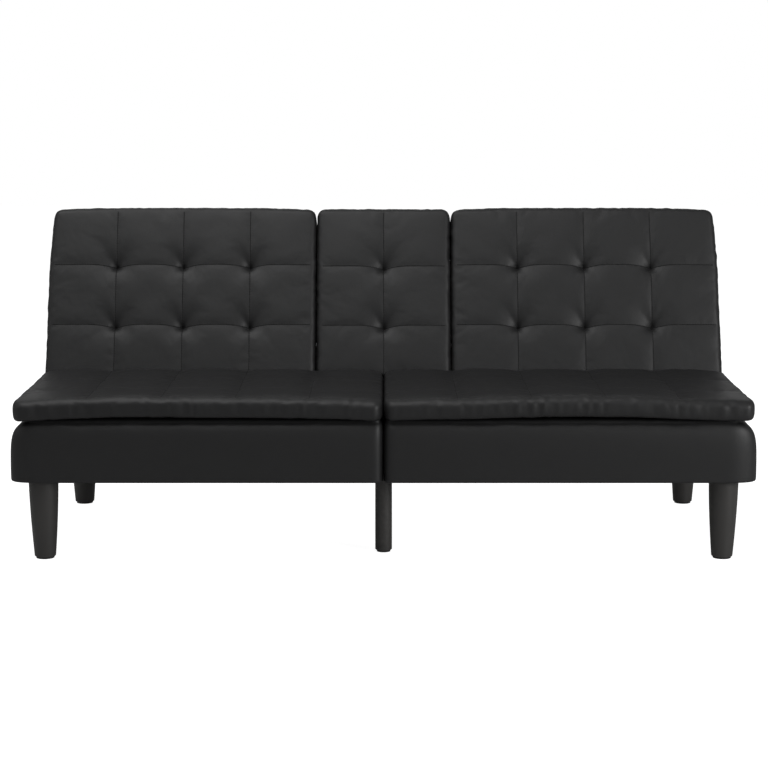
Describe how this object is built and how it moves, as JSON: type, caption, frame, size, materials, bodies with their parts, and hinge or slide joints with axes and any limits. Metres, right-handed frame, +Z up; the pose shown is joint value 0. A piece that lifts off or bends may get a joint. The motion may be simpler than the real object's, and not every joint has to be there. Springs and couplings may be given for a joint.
{
  "type": "futon sofa bed",
  "caption": "Armless tufted futon sofa with a backrest that reclines flat, a fold-down middle console with cup wells, and round tapered legs.",
  "frame": {"origin": "on the floor, under the middle of the upright sofa's box", "axes": "+X to the right seen from the front, +Y to the back, +Z up; the seat faces -Y"},
  "size_m": [1.8, 0.762, 0.8206],
  "materials": {
    "upholstery": "satin",
    "frame_paint": "satin",
    "spring_steel": "satin",
    "zinc_steel": "satin",
    "leg_black": "satin",
    "glide_plastic": "matte",
    "dust_cloth": "matte",
    "webbing": "matte",
    "board_wood": "matte",
    "tray_plastic": "satin"
  },
  "bodies": {
    "base": {"front_rail_left": "frame_paint", "front_rail_right": "frame_paint", "side_rail_left": "frame_paint", "side_rail_right": "frame_paint", "centre_rail_left": "frame_paint", "centre_rail_right": "frame_paint", "seat_rear_rail_left": "frame_paint", "seat_rear_rail_right": "frame_paint", "rear_rail_left": "frame_paint", "rear_rail_right": "frame_paint", "centre_spacers": "zinc_steel", "joining_bolts": "zinc_steel", "seat_springs_left": "spring_steel", "seat_springs_right": "spring_steel", "seat_foam_left": "upholstery", "seat_foam_right": "upholstery", "seat_border_left": "upholstery", "seat_border_right": "upholstery", "pillow_top_left": "upholstery", "pillow_top_right": "upholstery", "dust_cover_left": "dust_cloth", "dust_cover_right": "dust_cloth", "leg_front_left": "leg_black", "leg_front_right": "leg_black", "leg_rear_left": "leg_black", "leg_rear_right": "leg_black", "leg_middle": "leg_black", "leg_plates": "frame_paint", "leg_bolts": "zinc_steel", "leg_glides": "glide_plastic", "hinge_plate_left": "frame_paint", "hinge_plate_right": "frame_paint", "hinge_pins": "zinc_steel", "hinge_bolts": "zinc_steel", "hinge_pawls": "zinc_steel"},
    "backrest": {"hinge_arm_left": "frame_paint", "hinge_arm_right": "frame_paint", "back_bottom_rail_left": "frame_paint", "back_bottom_rail_right": "frame_paint", "back_top_rail_left": "frame_paint", "back_top_rail_right": "frame_paint", "back_outer_rail_left": "frame_paint", "back_outer_rail_right": "frame_paint", "back_inner_rail_left": "frame_paint", "back_inner_rail_right": "frame_paint", "back_cross_tube": "frame_paint", "back_webbing": "webbing", "back_cushion_left": "upholstery", "back_cushion_right": "upholstery", "back_border_left": "upholstery", "back_border_right": "upholstery", "back_panel_left": "upholstery", "back_panel_right": "upholstery", "console_brackets": "frame_paint"},
    "console": {"console_pins": "zinc_steel", "console_side_boards": "board_wood", "console_end_boards": "board_wood", "console_cushion": "upholstery", "cup_tray": "tray_plastic"}
  },
  "joints": [
    {"name": "back_recline", "type": "hinge", "parent": "base", "child": "backrest", "pos_m": [0, 0.15675, 0.35], "axis": [-1, 0, 0], "range_deg": [0, 70.5]},
    {"name": "console_fold", "type": "hinge", "parent": "backrest", "child": "console", "pos_m": [0, 0.19042, 0.45707], "axis": [1, 0, 0], "range_deg": [0, 109.5]}
  ]
}
